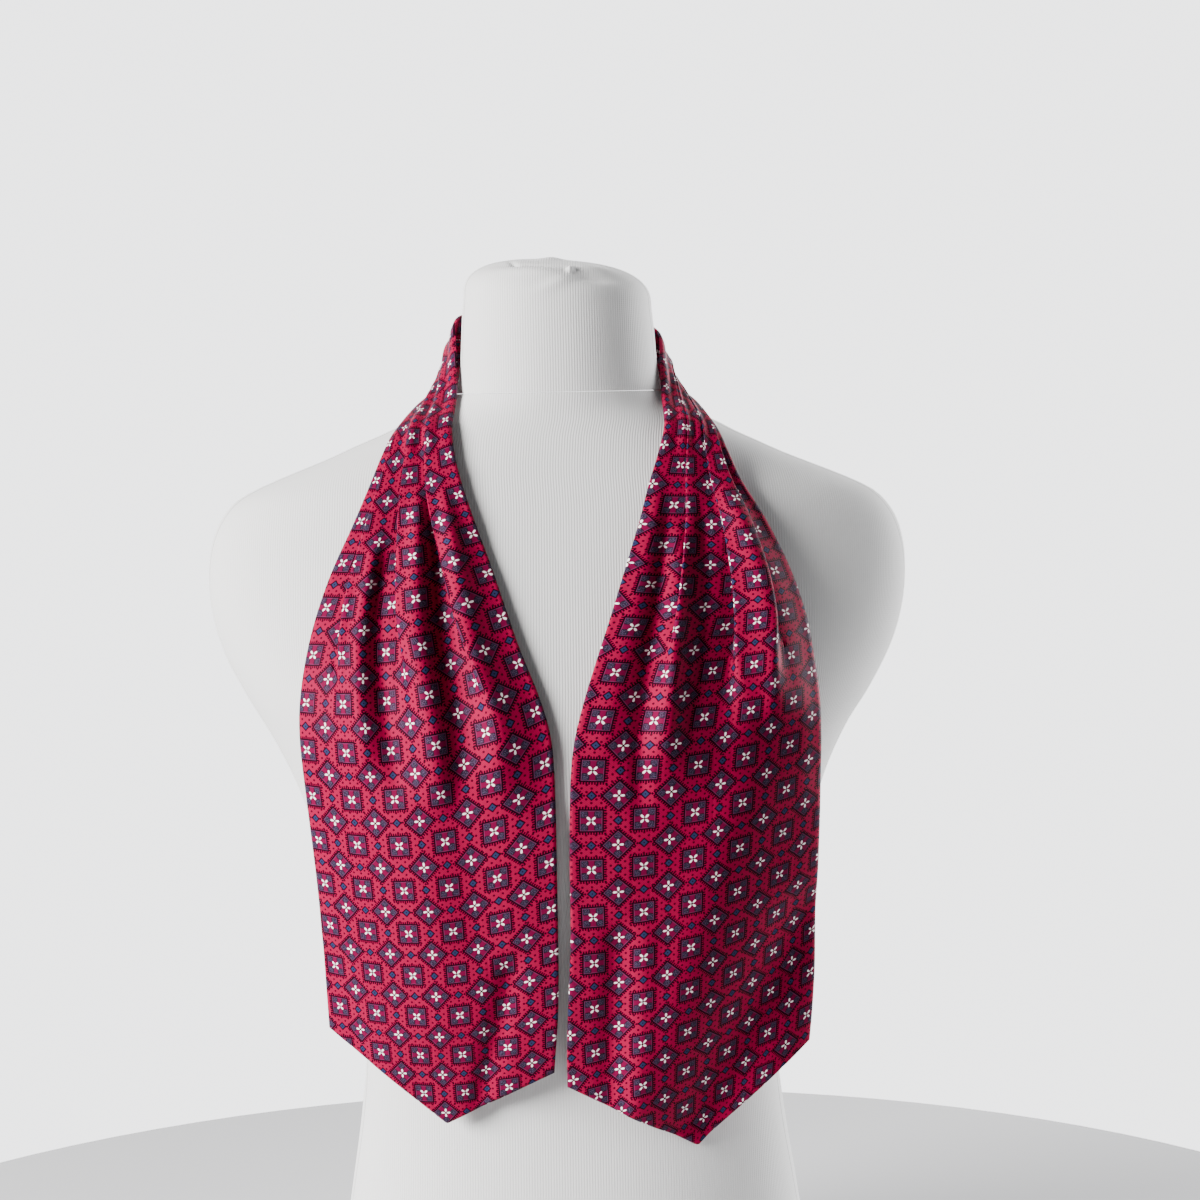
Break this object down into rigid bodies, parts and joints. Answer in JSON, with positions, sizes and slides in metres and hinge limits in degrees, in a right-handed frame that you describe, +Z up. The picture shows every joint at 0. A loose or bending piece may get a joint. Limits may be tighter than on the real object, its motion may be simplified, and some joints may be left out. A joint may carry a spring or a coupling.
{
  "type": "cravat on a dress form",
  "caption": "Pleated silk day cravat hung untied round the neck of a limbless dress form, its pointed blades side by side on the chest.",
  "frame": {"origin": "middle of the dress form's flat base, on the surface it stands on", "axes": "+Z up, front of the form towards -Y, +X to the right as seen from the front"},
  "size_m": [0.455, 0.2566, 0.6751],
  "materials": {
    "silk": "crimson printed silk twill with a soft sheen",
    "jersey": "matt white ribbed knit jersey cover"
  },
  "bodies": {
    "root": {"blade_left": "silk", "blade_right": "silk", "neck_band_left": "silk", "neck_band_right": "silk", "form_torso": "jersey", "form_neck_cap": "jersey"}
  },
  "joints": []
}
